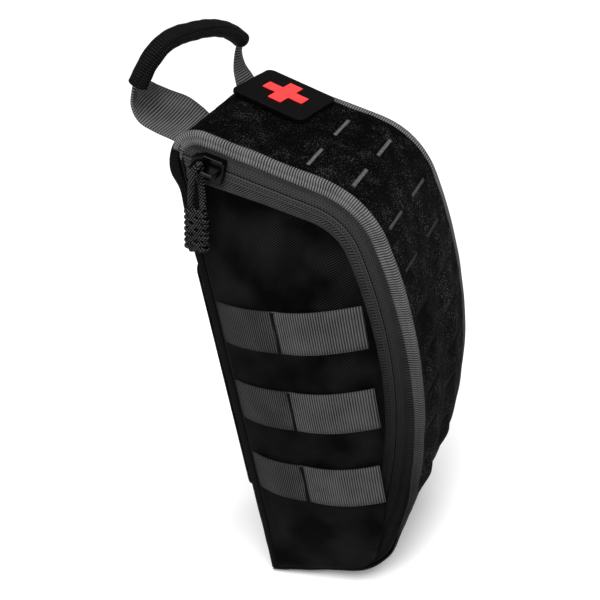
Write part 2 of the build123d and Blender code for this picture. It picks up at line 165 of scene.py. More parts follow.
class Shader:
    """A material being wired up: small calls that return sockets."""

    def __init__(self, name, **surface):
        self.material = bpy.data.materials.new(name)
        self.material.use_nodes = True
        self.tree = self.material.node_tree
        self.surface = self.tree.nodes["Principled BSDF"]
        self.surface.inputs["Specular IOR Level"].default_value = CLOTH_SPECULAR
        for socket, value in surface.items():
            self.surface.inputs[socket.replace("_", " ").title()].default_value = value

    def node(self, kind, **values):
        node = self.tree.nodes.new(kind)
        for key, value in values.items():
            setattr(node, key, value)
        return node

    def feed(self, socket, value):
        if isinstance(value, bpy.types.NodeSocket):
            self.tree.links.new(value, socket)
        else:
            socket.default_value = value

    def math(self, operation, a, b=0.0, c=0.0):
        node = self.node("ShaderNodeMath", operation=operation)
        for socket, value in zip(node.inputs, (a, b, c)):
            self.feed(socket, value)
        return node.outputs[0]

    def uv(self):
        """Distances along and across a strip, in millimetres."""
        node = self.node("ShaderNodeUVMap", uv_map="cloth")
        parts = self.node("ShaderNodeSeparateXYZ")
        self.tree.links.new(node.outputs[0], parts.inputs[0])
        return parts.outputs[0], parts.outputs[1]

    def here(self):
        """The object's own coordinates, in millimetres."""
        node = self.node("ShaderNodeTexCoord")
        scale = self.node("ShaderNodeVectorMath", operation="SCALE")
        self.tree.links.new(node.outputs["Object"], scale.inputs[0])
        scale.inputs["Scale"].default_value = 1 / MM
        return scale.outputs[0]

    def split(self, vector):
        parts = self.node("ShaderNodeSeparateXYZ")
        self.tree.links.new(vector, parts.inputs[0])
        return parts.outputs

    def noise(self, vector, size, detail=2.0, rough=0.5):
        node = self.node("ShaderNodeTexNoise")
        self.feed(node.inputs["Vector"], vector)
        node.inputs["Scale"].default_value = 1 / size
        node.inputs["Detail"].default_value = detail
        node.inputs["Roughness"].default_value = rough
        return node.outputs["Fac"]

    def wave(self, distance, pitch):
        """A sine from 0 to 1 with that pitch."""
        turn = self.math("MULTIPLY", distance, 2 * math.pi / pitch)
        return self.math("MULTIPLY_ADD", self.math("SINE", turn), 0.5, 0.5)

    def ramp(self, value, *stops):
        node = self.node("ShaderNodeValToRGB")
        self.feed(node.inputs[0], value)
        elements = node.color_ramp.elements
        while len(elements) < len(stops):
            elements.new(0.5)
        for element, (position, colour) in zip(elements, stops):
            element.position = position
            element.color = colour if len(colour) == 4 else (*colour, 1.0)
        return node.outputs[0]

    def colour(self, value):
        self.feed(self.surface.inputs["Base Color"], value)

    def fade(self, colour, shade_at_bottom, low=-60.0, high=118.0):
        """Painted shade down the pouch: the colour is full above high and scaled to the given bottom level
        below low, as if lit from above.
        """
        height = self.split(self.here())[2]
        share = self.node("ShaderNodeMapRange")
        self.feed(share.inputs["Value"], height)
        share.inputs["From Min"].default_value = low
        share.inputs["From Max"].default_value = high
        share.inputs["To Min"].default_value = shade_at_bottom
        share.inputs["To Max"].default_value = 1.0
        scaled = self.node("ShaderNodeVectorMath", operation="SCALE")
        self.feed(scaled.inputs[0], colour)
        self.feed(scaled.inputs["Scale"], share.outputs[0])
        return scaled.outputs[0]

    def rough(self, value):
        self.feed(self.surface.inputs["Roughness"], value)

    def bump(self, height, depth_mm, strength=1.0):
        node = self.node("ShaderNodeBump")
        self.feed(node.inputs["Height"], height)
        node.inputs["Distance"].default_value = depth_mm * MM
        node.inputs["Strength"].default_value = strength
        self.feed(self.surface.inputs["Normal"], node.outputs[0])


def grey(level, tint=(1.0, 1.0, 1.0)):
    return tuple(level * part for part in tint)


# ------------------------ materials
def webbing_material(name, dark, light, pitch, thread=0.62, shade_at_bottom=1.0, shaded_to=0.0):
    """Ribbed nylon: cords across the strap, with fine threads over each cord.

    Up to the given length along it the colour is darkened: painted shade where the strap turns away from the
    light.
    """
    shader = Shader(name, roughness=0.78)
    along, across = shader.uv()
    wander = shader.noise(shader.here(), 3.0)
    shifted = shader.math("MULTIPLY_ADD", wander, 0.3, along)
    rib = shader.wave(shifted, pitch)
    threads = shader.wave(across, thread)
    relief = shader.math("MULTIPLY", rib, shader.math("MULTIPLY_ADD", threads, 0.35, 0.65))
    wear_and_sheen = shader.noise(shader.here(), 14.0, 3.0)
    level = shader.math("MULTIPLY_ADD", wear_and_sheen, 0.4, shader.math("MULTIPLY", relief, 0.8))
    # Painted shade: the first stretch along the strap is darkened to 0.62 of its colour.
    if shaded_to:
        unshaded = shader.math("GREATER_THAN", along, shaded_to)
        level = shader.math("MULTIPLY", level, shader.math("MULTIPLY_ADD", unshaded, 0.38, 0.62))
    colour = shader.ramp(level, (0.16, grey(dark)), (0.85, grey(light)))
    # Painted shade: below 1.0 the colour darkens down the pouch.
    shader.colour(shader.fade(colour, shade_at_bottom) if shade_at_bottom < 1.0 else colour)
    shader.bump(relief, 0.42, 0.9)
    return shader.material


def zip_tape_material():
    """Herringbone tape: slanting ribs that change side along the middle of each half."""
    shader = Shader("zip_tape", roughness=0.8)
    along, across = shader.uv()
    fold = shader.math("PINGPONG", across, 2.6)
    slanted = shader.math("MULTIPLY_ADD", fold, 1.5, along)
    rib = shader.wave(slanted, 1.7)
    thread = shader.wave(across, 0.55)
    relief = shader.math("MULTIPLY", rib, shader.math("MULTIPLY_ADD", thread, 0.3, 0.7))
    wear_and_sheen = shader.noise(shader.here(), 11.0, 3.0)
    level = shader.math("MULTIPLY_ADD", wear_and_sheen, 0.4, shader.math("MULTIPLY", relief, 0.8))
    # Painted shade: the tape darkens to 0.1 of its colour down the pouch.
    shader.colour(shader.fade(shader.ramp(level, (0.15, grey(0.0012)), (0.9, grey(0.042))), 0.1))
    shader.bump(relief, 0.3, 0.9)
    return shader.material


def chain_material():
    """The coil under its tape: rows of short stitches along a ribbed ground."""
    shader = Shader("zip_chain", roughness=0.7)
    along, across = shader.uv()
    stitch = shader.wave(along, 1.7)
    line = shader.wave(shader.math("ADD", across, 0.3), 1.5)
    dots = shader.math("MULTIPLY", shader.math("POWER", stitch, 1.5), shader.math("POWER", line, 3.0))
    slanted = shader.wave(shader.math("MULTIPLY_ADD", across, 1.2, along), 1.3)
    ground = shader.math("MULTIPLY_ADD", slanted, 0.45, 0.45)
    relief = shader.math("SUBTRACT", ground, shader.math("MULTIPLY", dots, 0.9))
    # Painted shade: the coil darkens to 0.12 of its colour down the pouch.
    shader.colour(shader.fade(shader.ramp(relief, (0.05, grey(0.0003)), (0.85, grey(0.042))), 0.12))
    shader.bump(relief, 0.4, 1.0)
    return shader.material


def nylon_material(name, dark, light):
    """Packcloth: fine slanting rows of stitches, brighter where the cloth catches the light."""
    shader = Shader(name, roughness=0.8)
    shader.surface.inputs["Specular IOR Level"].default_value = 0.02
    parts = shader.split(shader.here())
    slant = shader.math("MULTIPLY_ADD", parts[1], 0.75, parts[2])
    slant = shader.math("MULTIPLY_ADD", parts[0], 0.75, slant)
    counter = shader.math("MULTIPLY_ADD", parts[1], -1.1, parts[2])
    counter = shader.math("MULTIPLY_ADD", parts[0], -0.8, counter)
    warp = shader.math("POWER", shader.wave(slant, 1.45), 2.0)
    weft = shader.wave(counter, 1.1)
    relief = shader.math("MULTIPLY", warp, shader.math("MULTIPLY_ADD", weft, 0.55, 0.45))
    # Painted sheen: broad noise patches brighten the weave where the cloth would catch the light.
    wear_and_sheen = shader.noise(shader.here(), 26.0, 3.0)
    painted_sheen = shader.math("MULTIPLY_ADD", wear_and_sheen, 3.2, -1.1)
    level = shader.math("MULTIPLY", relief, shader.math("MAXIMUM", painted_sheen, 0.12))
    shader.colour(shader.ramp(level, (0.02, grey(dark)), (0.7, grey(light))))
    shader.bump(relief, 0.22, 0.8)
    return shader.material


def pile_material(name, dark, fleck, coverage=0.5):
    """Napped loop face: short curled fibres over a dark ground, denser in some places."""
    shader = Shader(name, roughness=0.95)
    shader.surface.inputs["Specular IOR Level"].default_value = 0.03
    where = shader.here()
    curl = shader.node("ShaderNodeTexNoise")
    shader.feed(curl.inputs["Vector"], where)
    curl.inputs["Scale"].default_value = 0.9
    curl.inputs["Detail"].default_value = 2.0
    warped = shader.node("ShaderNodeVectorMath", operation="MULTIPLY_ADD")
    shader.feed(warped.inputs[0], curl.outputs["Color"])
    warped.inputs[1].default_value = (3.0, 3.0, 3.0)
    shader.feed(warped.inputs[2], where)
    cells = shader.node("ShaderNodeTexVoronoi", feature="DISTANCE_TO_EDGE")
    shader.feed(cells.inputs["Vector"], warped.outputs[0])
    cells.inputs["Scale"].default_value = 0.85
    thread = shader.math("MULTIPLY", shader.math("SUBTRACT", 0.1, cells.outputs["Distance"]), 9.0)
    fibre = shader.math("MAXIMUM", thread, 0.0)
    grain = shader.noise(where, 0.75, 3.0, 0.7)
    clumps = shader.noise(where, 13.0, 3.0, 0.6)
    density = shader.math("ADD", shader.math("MULTIPLY", grain, 0.75), shader.math("MULTIPLY", clumps, 0.3))
    above = shader.math("SUBTRACT", density, 1.02 * coverage)
    shown = shader.math("MAXIMUM", shader.math("MULTIPLY", above, 5.5), 0.0)
    lit = shader.math("MULTIPLY", fibre, shown)
    shader.colour(shader.ramp(lit, (0.02, grey(dark)), (0.8, grey(fleck))))
    height = shader.math("MULTIPLY_ADD", fibre, 0.5, grain)
    shader.bump(height, 0.8, 0.9)
    return shader.material


def cord_material():
    """Braided sheath: two crossing slants along the cord."""
    shader = Shader("braided_cord", roughness=0.7)
    parts = shader.split(shader.here())
    first = shader.wave(shader.math("ADD", parts[2], parts[1]), 1.7)
    second = shader.wave(shader.math("SUBTRACT", parts[2], parts[1]), 1.7)
    relief = shader.math("MAXIMUM", shader.math("MULTIPLY", first, second), 0.0)
    wear_and_sheen = shader.noise(shader.here(), 5.0, 2.0)
    level = shader.math("MULTIPLY_ADD", wear_and_sheen, 0.4, shader.math("MULTIPLY", relief, 0.9))
    shader.colour(shader.ramp(level, (0.3, grey(0.0002)), (0.95, grey(0.06))))
    shader.bump(relief, 0.3, 1.0)
    return shader.material


def knit_material():
    """The grip's stretchy sleeve: fine lengthwise stitches with a grey bloom on top."""
    shader = Shader("knit_sleeve", roughness=0.85)
    along, across = shader.uv()
    stitch = shader.wave(shader.math("MULTIPLY_ADD", shader.math("PINGPONG", across, 0.7), 0.8, along), 1.3)
    ladder = shader.wave(across, 1.4)
    relief = shader.math("MULTIPLY", stitch, shader.math("MULTIPLY_ADD", ladder, 0.5, 0.5))
    fluff = shader.noise(shader.here(), 1.1, 4.0, 0.7)
    level = shader.math("MULTIPLY", relief, fluff)
    shader.colour(shader.ramp(level, (0.1, grey(0.0002)), (0.62, grey(0.016))))
    shader.bump(level, 0.5, 0.8)
    return shader.material


def gloss_material():
    """Black enamel on the slider, with fine scuffs."""
    shader = Shader("gloss_black", roughness=0.16)
    shader.surface.inputs["Specular IOR Level"].default_value = 0.1
    shader.surface.inputs["Base Color"].default_value = (0.001, 0.001, 0.001, 1.0)
    scuff = shader.noise(shader.here(), 1.8, 5.0, 0.65)
    shader.rough(shader.math("MULTIPLY_ADD", scuff, 0.22, 0.08))
    shader.bump(scuff, 0.05, 0.4)
    return shader.material


def stitched_material(name, colour, rib=0.75, depth=0.25):
    """Satin stitch: close parallel threads across the patch."""
    shader = Shader(name, roughness=0.55)
    parts = shader.split(shader.here())
    wander = shader.noise(shader.here(), 1.4, 3.0)
    thread = shader.wave(shader.math("MULTIPLY_ADD", wander, 0.5, parts[0]), rib)
    tone = shader.math("MULTIPLY_ADD", thread, 0.5, shader.math("MULTIPLY", wander, 0.5))
    low = tuple(part * 0.72 for part in colour)
    shader.colour(shader.ramp(tone, (0.1, low), (0.6, colour)))
    shader.bump(thread, depth, 0.6)
    return shader.material


def thread_material():
    """Tightly packed sewing thread in a bar tack."""
    shader = Shader("thread", roughness=0.6)
    along, across = shader.uv()
    twist = shader.wave(shader.math("MULTIPLY_ADD", along, 0.5, across), 0.9)
    shader.colour(shader.ramp(twist, (0.2, grey(0.0002)), (0.9, grey(0.0012))))
    shader.bump(twist, 0.3, 1.0)
    return shader.material


def lining_material():
    shader = Shader("lining_cloth", roughness=0.8)
    parts = shader.split(shader.here())
    warp = shader.wave(shader.math("ADD", parts[2], parts[0]), 0.9)
    weft = shader.wave(parts[1], 0.9)
    relief = shader.math("MULTIPLY", warp, weft)
    shader.colour(shader.ramp(relief, (0.1, grey(0.006)), (0.9, grey(0.022))))
    shader.bump(relief, 0.15, 0.7)
    return shader.material


def slit_material():
    """The grey cloth that shows through the slots."""
    shader = Shader("slit_grey", roughness=0.75)
    grain = shader.noise(shader.here(), 1.2, 3.0)
    tone = shader.ramp(grain, (0.3, grey(0.05)), (0.7, grey(0.1)))
    # Painted shade: the slot floors darken to 0.1 of their colour below 120 mm.
    shader.colour(shader.fade(tone, 0.1, 55.0, 120.0))
    shader.bump(grain, 0.2, 0.5)
    return shader.material


# Painted shade on grey_webbing over its first 37 mm from the back edge.
WEBBING = webbing_material("grey_webbing", 0.003, 0.075, 1.35, shaded_to=37.0)
STRAP = webbing_material("handle_webbing", 0.004, 0.125, 1.45)
# Painted shade: the binding darkens to 0.16 of its colour down the pouch.
BINDING = webbing_material("grey_binding", 0.003, 0.15, 1.4, 1.1, shade_at_bottom=0.16)
BLACK_TAPE = webbing_material("black_binding", 0.0003, 0.004, 1.2)
ZIP_TAPE = zip_tape_material()
CHAIN = chain_material()
NYLON = nylon_material("black_nylon", 0.0002, 0.015)
PILE = pile_material("loop_face", 0.0003, 0.26, 0.54)
HOOKS = pile_material("back_pile", 0.001, 0.04, 0.5)
CORD = cord_material()
KNIT = knit_material()
GLOSS = gloss_material()
PATCH_BLACK = stitched_material("patch_black", (0.0003, 0.0003, 0.0004), 0.9)
PATCH_RED = stitched_material("patch_red", (1.0, 0.052, 0.052))
THREAD = thread_material()
LINING = lining_material()
SLIT = slit_material()


# ------------------------ mesh helpers
def new_piece(name, vertices, faces, material, body, uvs=None, smooth=True):
    """A mesh piece that rides on a body; uvs are per vertex, in millimetres."""
    mesh = bpy.data.meshes.new(name)
    mesh.from_pydata([tuple(vertex) for vertex in vertices], [], faces)
    mesh.validate()
    if uvs is not None:
        layer = mesh.uv_layers.new(name="cloth")
        for loop in mesh.loops:
            layer.data[loop.index].uv = uvs[loop.vertex_index]
    mesh.materials.append(material)
    mesh.polygons.foreach_set("use_smooth", [smooth] * len(mesh.polygons))
    piece = link(name, mesh)
    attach(piece, body)
    return piece


def grid_piece(name, rows, material, body, uvs, keep=None):
    """A quad grid from equal rows of points; keep(row, column) may leave cells out."""
    width = len(rows[0])
    vertices = [point for row in rows for point in row]
    flat_uvs = [uv for row in uvs for uv in row]
    faces = []
    for r in range(len(rows) - 1):
        for c in range(width - 1):
            if keep is None or keep(r, c):
                first = r * width + c
                faces.append((first, first + 1, first + width + 1, first + width))
    return new_piece(name, vertices, faces, material, body, flat_uvs)


def thicken(piece, thickness_mm, offset=-1.0):
    solid = piece.modifiers.new("thickness", "SOLIDIFY")
    solid.thickness = thickness_mm * MM
    solid.offset = offset
    return piece


def paint(node, material):
    """Give a CAD node that stays a detailed material."""
    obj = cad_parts[node]
    obj.data.materials.clear()
    obj.data.materials.append(material)


def wobble(point, size, amount, seed=0.0):
    """Smooth seeded noise, for slack cloth."""
    return noise.noise(Vector(point) / size + Vector((seed, seed * 1.7, -seed))) * amount


# ------------------------ the side profile
def arc_points(first, middle, last, step=1.5):
    """Points along the arc through three points, the last left out."""
    ax, ay = first
    bx, by = middle
    cx, cy = last
    d = 2 * (ax * (by - cy) + bx * (cy - ay) + cx * (ay - by))
    ux = ((ax**2 + ay**2) * (by - cy) + (bx**2 + by**2) * (cy - ay) + (cx**2 + cy**2) * (ay - by)) / d
    uy = ((ax**2 + ay**2) * (cx - bx) + (bx**2 + by**2) * (ax - cx) + (cx**2 + cy**2) * (bx - ax)) / d
    radius = math.hypot(ax - ux, ay - uy)
    start = math.atan2(ay - uy, ax - ux)
    turn = math.remainder(math.atan2(cy - uy, cx - ux) - start, 2 * math.pi)
    count = max(2, int(abs(turn) * radius / step))
    angles = [start + turn * index / count for index in range(count)]
    return [(ux + radius * math.cos(a), uy + radius * math.sin(a)) for a in angles]


def line_points(first, last, step=1.5):
    length = math.dist(first, last)
    count = max(1, int(length / step))
    points = []
    for index in range(count):
        t = index / count
        points.append((first[0] + (last[0] - first[0]) * t, first[1] + (last[1] - first[1]) * t))
    return points


def corner_arc(before, corner, after, radius):
    """Where a corner's fillet starts, its middle and its end."""
    into = (Vector(before) - Vector(corner)).normalized()
    out = (Vector(after) - Vector(corner)).normalized()
    half = into.angle(out) / 2
    reach = radius / math.tan(half)
    bisector = (into + out).normalized()
    middle = Vector(corner) + bisector * (radius / math.sin(half) - radius)
    return tuple(Vector(corner) + into * reach), tuple(middle), tuple(Vector(corner) + out * reach)


def outer_path(rounded_crest):
    """The pouch's outline from its top back corner, over the front, to the bottom back corner."""
    if rounded_crest:
        start, middle, end = corner_arc((0, 0), (0, CREST_HEIGHT), SHOULDER_HIGH, CREST_RADIUS)
        points = arc_points(start, middle, end) + line_points(end, SHOULDER_HIGH)
    else:
        room = 20.0
        start = (-room, CREST_HEIGHT + room * math.tan(SLOPE))
        points = line_points(start, SHOULDER_HIGH)
    points += arc_points(SHOULDER_HIGH, SHOULDER_MIDDLE, SHOULDER_LOW)
    points += arc_points(SHOULDER_LOW, FRONT_MIDDLE, FRONT_LOW)
    start, middle, end = corner_arc(FRONT_LOW, TOE, (0, 0), TOE_RADIUS)
    points += line_points(FRONT_LOW, start) + arc_points(start, middle, end)
    room = 0.0 if rounded_crest else 20.0
    last = (-room, -room * TOE[1] / TOE[0])
    points += line_points(end, last) + [last]
    return points


def normals_of(points):
    """Inward normals, away from the outline's outer side."""
    result = []
    for index in range(len(points)):
        before = points[max(index - 1, 0)]
        after = points[min(index + 1, len(points) - 1)]
        run = Vector((after[0] - before[0], after[1] - before[1])).normalized()
        result.append(Vector((run.y, -run.x)))
    return result


ROUND = outer_path(True)
ROUND_NORMALS = normals_of(ROUND)
SHARP = outer_path(False)
SHARP_NORMALS = normals_of(SHARP)


def inset_path(inset, count, start_depth=0.0, sharp=False):
    """count even points along the outline moved inwards, from start_depth round to it again."""
    source = SHARP if sharp else ROUND
    across = SHARP_NORMALS if sharp else ROUND_NORMALS
    moved = [Vector(point) + normal * inset for point, normal in zip(source, across)]
    kept = [point for point in moved if point.x >= start_depth - 1e-6]
    if sharp:
        first = Vector((start_depth, kept[0].y + (kept[0].x - start_depth) * math.tan(SLOPE)))
        last = Vector((start_depth, kept[-1].y - (kept[-1].x - start_depth) * TOE[1] / TOE[0]))
        kept = [first, *kept, last]
    lengths = [0.0]
    for before, after in zip(kept, kept[1:]):
        lengths.append(lengths[-1] + (after - before).length)
    result = []
    index = 0
    for number in range(count):
        target = lengths[-1] * number / (count - 1)
        while index < len(lengths) - 2 and lengths[index + 1] < target:
            index += 1
        span = max(lengths[index + 1] - lengths[index], 1e-9)
        t = (target - lengths[index]) / span
        result.append(kept[index].lerp(kept[index + 1], t))
    return result, lengths[-1]


def inside_crest(point, cover):
    """Pull a point of the tape in under the rounded crest, cover mm deep."""
    centre = Vector((CREST_RADIUS, CREST_CENTRE))
    reach = point - centre
    limit = CREST_RADIUS - cover
    uphill = Vector((math.sin(SLOPE), math.cos(SLOPE)))
    if reach.y > 0 and reach.dot(Vector((uphill.y, -uphill.x))) < 0 and reach.length > limit:
        return centre + reach.normalized() * limit
    return point


def between(stops, value):
    """Straight-line reading of a small table of (position, amount)."""
    if value <= stops[0][0]:
        return stops[0][1]
    for (low, first), (high, second) in zip(stops, stops[1:]):
        if value <= high:
            return first + (second - first) * (value - low) / (high - low)
    return stops[-1][1]


def widths(section):
    """How far across a section each of its points lies."""
    across = [0.0]
    for before, after in zip(section, section[1:]):
        across.append(across[-1] + math.dist(before, after))
    return across


def profile_strip(
    name, section, material, body, count,
    start_depth=0.0, sharp=False, slack=0.0, stops=None, pivot=0.0, skip=0, square=False,
):
    """A strip that follows the outline; section is a list of (x, inset) across it.

    stops stretch its insets away from the pivot, by height. square keeps its cross lines
    square to the outline. sharp follows the outline with its crest unrounded. skip leaves
    out that many steps at the crest.
    """
    spine, spine_length = inset_path(0.0, count)
    inward = normals_of([tuple(point) for point in spine])
    rows = []
    uvs = []
    for (x, inset), across in zip(section, widths(section)):
        row = []
        if square:
            path = [spot + normal * inset for spot, normal in zip(spine, inward)]
            length = spine_length
            fixed = spine if inset > 0 else path
        else:
            path, length = inset_path(inset, count, start_depth, sharp)
            fixed = inset_path(pivot, count, start_depth, sharp)[0] if stops else path
        for number, point in enumerate(path):
            if stops:
                point = fixed[number] + (point - fixed[number]) * between(stops, point.y)
            if sharp:
                point = inside_crest(point, TAPE_COVER)
            spot = place(x, point.x, point.y)
            shift = wobble(spot, 0.02, slack, 3.1) * MM if slack else 0.0
            row.append(spot + Vector((shift if abs(x) > HALF - 1 else 0.0, shift, shift)))
        rows.append(row[skip:])
        uvs.append([(length * number / (count - 1), across) for number in range(skip, count)])
    return grid_piece(name, rows, material, body, uvs)


# ------------------------ bindings
def binding_section(sign, side_lift, on_spine):
    """Across a binding, from its edge on the spine, round the ridge, to its edge on the side."""
    face = HALF + side_lift
    points = [
        (HALF - on_spine - 0.2, 0.3),
        (HALF - on_spine, -0.3),
        (HALF - on_spine / 2, -0.55),
        (face - 0.4, -0.5),
        (face + 0.5, -0.1),
        (face + 0.95, 0.5),
        (face + 1.2, 1.2),
        (face + 1.2, 2.6),
        (face + 0.65, 3.2),
        (face + 1.15, 3.8),
        (face + 1.2, 5.2),
        (face + 1.0, FLANGE - 0.4),
        (face + 0.2, FLANGE),
    ]
    return [(sign * x, inset) for x, inset in points]


for name, sign, lift, on_spine, stops, skip, node in (
    ("binding_near", -1, 1.2, NEAR_ON_SPINE, FLANGE_STOPS, 7, "edge_binding_near"),
    ("binding_far", 1, 0.0, FAR_ON_SPINE, None, 3, "edge_binding_far"),
):
    section = binding_section(sign, lift, on_spine)
    binding = profile_strip(
        name, section, BINDING, "shell", BINDING_STEPS,
        slack=BINDING_SLACK, stops=stops, skip=skip, square=True,
    )
    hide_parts(node)


# ------------------------ zip
TAPE_STOPS = ((60.0, 0.6), (140.0, 0.62), (225.0, 0.8), (252.0, 1.0), (262.0, 1.15), (275.0, 1.3))


def tape_sections(sign):
    """Across one half: the rows over the coil, then the flat tape."""
    gap = CHAIN_INSET + sign * 0.15
    chain = [(0.0, 1.5), (0.5, 1.95), (1.6, 2.15), (2.5, 1.7), (3.0, 2.05), (4.1, 2.0), (4.7, 1.5)]
    flat = [(6.0, 1.75), (7.4, 2.3), (8.4, 2.9), (9.1, 2.9), (9.5, 2.3), (9.2, 1.5)]
    if sign < 0:
        flat = [(6.0, 1.45), (7.4, 1.6), (9.0, 1.5), (12.0, 1.3)]
    chain_points = [(DOOR_X - lift, gap + sign * reach) for reach, lift in chain]
    tape_points = [(DOOR_X - lift, gap + sign * reach) for reach, lift in [chain[-1], *flat]]
    return chain_points, tape_points


for body, sign, start, node in (("shell", -1, 4.0, "zip_tape_shell"), ("door", 1, 6.4, "zip_tape_door")):
    chain, tape = tape_sections(sign)
    stops = TAPE_STOPS if sign > 0 else None
    for suffix, section, material in (("cloth", tape, ZIP_TAPE), ("chain", chain, CHAIN)):
        piece = profile_strip(
            f"{node}_{suffix}", section, material, body, TAPE_STEPS,
            start, sharp=True, stops=stops, pivot=CHAIN_INSET,
        )
        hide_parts(node)


# ------------------------ spine
def slot_rows(path):
    """The path's indices at the middle of each row of slots."""
    wanted = []
    for arc in SLOPE_ROWS:
        wanted.append(Vector((arc * math.cos(SLOPE), CREST_HEIGHT - arc * math.sin(SLOPE))))
    wanted.append(Vector(SHOULDER_ROW))
    for height in FRONT_ROWS:
        front = [point for point in path if point.x > 70 and abs(point.y - height) < 1.2]
        wanted.append(front[0])
    return [min(range(len(path)), key=lambda index: (path[index] - spot).length) for spot in wanted]


def build_spine():
    count = SPINE_STEPS
    path, length = inset_path(0.0, count)
    across = normals_of([tuple(point) for point in path])
    rows_at = slot_rows(path)
    half_slot = max(1, round(SLOT_WIDTH / 2 / (length / (count - 1))))
    lines = SPINE_LINES
    low_x = -(HALF - NEAR_ON_SPINE + 0.4)
    high_x = HALF - FAR_ON_SPINE + 0.4
    xs = [low_x + (high_x - low_x) * index / (lines - 1) for index in range(lines)]

    def strip_bulge(index, x):
        """How far the cloth between two rows of slots stands out."""
        point = path[index]
        if point.x < BULGE_FROM_DEPTH or not BULGE_BOTTOM <= point.y <= BULGE_TOP:
            return 0.0
        low = [row for row in rows_at if row <= index]
        high = [row for row in rows_at if row > index]
        if not low or not high:
            return 0.0
        t = (index - low[-1]) / (high[0] - low[-1])
        columns = max(0.0, 1.0 - min(abs(x - column) for column in SLOT_COLUMNS) / (SLOT_LENGTH * 0.62))
        growth = min(1.0, (BULGE_TOP - point.y) / BULGE_GROWTH)
        return BULGE * growth * math.sin(math.pi * t) ** 0.8 * columns**0.7

    rows = []
    uvs = []
    for x in xs:
        row = []
        for index, point in enumerate(path):
            out = strip_bulge(index, x) + wobble((x, point.x, point.y), 9.0, 0.35) + 0.1
            spot = point - across[index] * out
            row.append(place(x, spot.x, spot.y))
        rows.append(row)
        uvs.append([(length * index / (count - 1), x) for index in range(count)])

    def keep(line, index):
        x = (xs[line] + xs[line + 1]) / 2
        in_slot = any(abs(x - column) < SLOT_LENGTH / 2 for column in SLOT_COLUMNS)
        reach = [0 if number < CLOSED_ROWS else half_slot for number in range(len(rows_at))]
        in_row = any(row - half <= index < row + half for row, half in zip(rows_at, reach))
        return not (in_slot and in_row)

    piece = grid_piece("spine_cloth", rows, PILE, "shell", uvs, keep)
    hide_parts("spine_face")
    inner = []
    for x, row in zip(xs, rows):
        floor = []
        for index, spot in enumerate(row):
            into = across[index] * 0.45 * MM
            floor.append(spot + Vector((0.0, -into.x, into.y)))
        inner.append(floor)
    floors = grid_piece("slot_floors", inner, SLIT, "shell", uvs, lambda line, index: not keep(line, index))
    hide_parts("spine_face")


build_spine()


# ------------------------ door
def crown_at(depth):
    """The door's outward bulge across its width."""
    reach = CROWN_RADIUS**2 - (depth - CROWN_MIDDLE) ** 2
    return CROWN - (CROWN_RADIUS - math.sqrt(max(reach, 0.0)))


def end_drop(height):
    """How much the bulge has fallen away above and below the webbing."""
    if height > CROWN_TOP_Z:
        reach = min(height - CROWN_TOP_Z, CROWN_TOP_RADIUS * 0.8)
        return CROWN_TOP_RADIUS - math.sqrt(CROWN_TOP_RADIUS**2 - reach**2)
    if height < CROWN_BOTTOM_Z:
        reach = min(CROWN_BOTTOM_Z - height, CROWN_BOTTOM_RADIUS * 0.8)
        return CROWN_BOTTOM_RADIUS - math.sqrt(CROWN_BOTTOM_RADIUS**2 - reach**2)
    return 0.0


def door_height(depth, height):
    bulge = min(crown_at(depth), CROWN - end_drop(height))
    soft = 0.6 + math.log1p(math.exp((bulge - 0.6) / 1.1)) * 1.1
    broad = wobble((0, depth, height), 16.0, 0.5)
    fine = wobble((9, depth, height), 6.0, 0.16)
    return min(soft, CROWN + 0.3) + broad + fine


def crossings(outline, depth):
    """Heights where a closed outline crosses a depth."""
    found = []
    for before, after in zip(outline, outline[1:]):
        if (before.x - depth) * (after.x - depth) <= 0 and before.x != after.x:
            t = (depth - before.x) / (after.x - before.x)
            found.append(before.y + (after.y - before.y) * t)
    return found


DOOR_TUCK = 5.5
DOOR_HEM = 0.4
DOOR_STEP = 1.5
DOOR_LINES = 170
DOOR_REACH = 100
OUTLINE_STEPS = 500
RIM_STEPS = 150
RIM_BOTTOM = 78.0
RIM_LIFT = 0.9
TOE_FROM = 62.0
TOE_LENGTH = 34.0
HEM_TOP = 46.0
HEM_FADE = 20.0
HEM_LIFT = 4.0


def ease(t):
    """A smooth step from 0 to 1."""
    return t * t * (3 - 2 * t)


def build_door():
    """A slack panel: tucked under the tape at the top and front, and over it along the bottom."""
    inset = TAPE_END - DOOR_TUCK
    tucked, _ = inset_path(inset, OUTLINE_STEPS, CROWN_FROM, sharp=True)
    hem, _ = inset_path(DOOR_HEM, OUTLINE_STEPS, CROWN_FROM, sharp=True)
    rim, _ = inset_path(inset, RIM_STEPS, CROWN_FROM, sharp=True)
    rim = [point for point in rim if point.y > RIM_BOTTOM]
    lines = DOOR_LINES
    rows = []
    uvs = []
    for number in range(int(DOOR_REACH / DOOR_STEP)):
        depth = CROWN_FROM + DOOR_STEP * number
        inner = crossings(tucked, depth)
        if not inner:
            continue
        high = max(inner)
        hem_low = min(crossings(hem, depth))
        t = min(max((depth - TOE_FROM) / TOE_LENGTH, 0.0), 1.0)
        low = hem_low + (min(inner) - hem_low) * ease(t)
        row = []
        uv = []
        for index in range(lines):
            height = low + (high - low) * index / (lines - 1)
            rise = min(max((HEM_TOP - (height - hem_low)) / HEM_FADE, 0.0), 1.0)
            edge = min(1.0, (height - low) / 5.0)
            over = HEM_LIFT * ease(rise) * math.sqrt(max(edge, 0.0)) * (1 - t)
            gap = min((point - Vector((depth, height))).length for point in rim)
            lift = min(door_height(depth, height), RIM_LIFT + 0.02 * gap**2)
            row.append(place(DOOR_X - max(lift, over), depth, height))
            uv.append((depth, height))
        rows.append(row)
        uvs.append(uv)
    piece = grid_piece("door_cloth", rows, NYLON, "door", uvs)
    thicken(piece, 0.5, 1.0)
    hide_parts("door_panel")


build_door()


